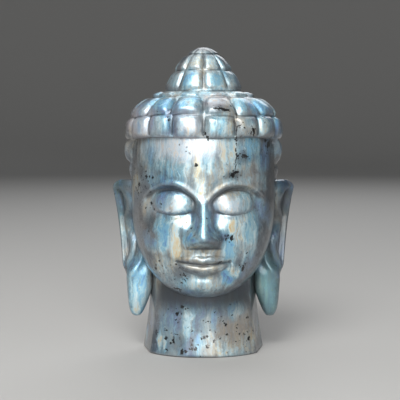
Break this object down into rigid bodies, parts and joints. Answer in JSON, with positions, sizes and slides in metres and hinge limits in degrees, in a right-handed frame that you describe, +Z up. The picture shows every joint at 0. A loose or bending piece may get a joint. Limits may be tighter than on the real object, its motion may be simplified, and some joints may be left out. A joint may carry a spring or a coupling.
{
  "type": "stone buddha head",
  "caption": "Polished stone buddha head with a calm face, rows of square-cut curls, a topknot and long ear lobes, cut flat below the neck so that it stands on a shelf.",
  "frame": {"origin": "on the flat underside of the neck, under the middle of the topknot", "axes": "+Z up to the topknot's tip, the face looks along -Y, +X to the viewer's right when the face is seen"},
  "size_m": [0.0748, 0.0685, 0.128],
  "materials": {
    "labradorite": "polished"
  },
  "bodies": {
    "root": {"buddha_head": "labradorite"}
  },
  "joints": []
}
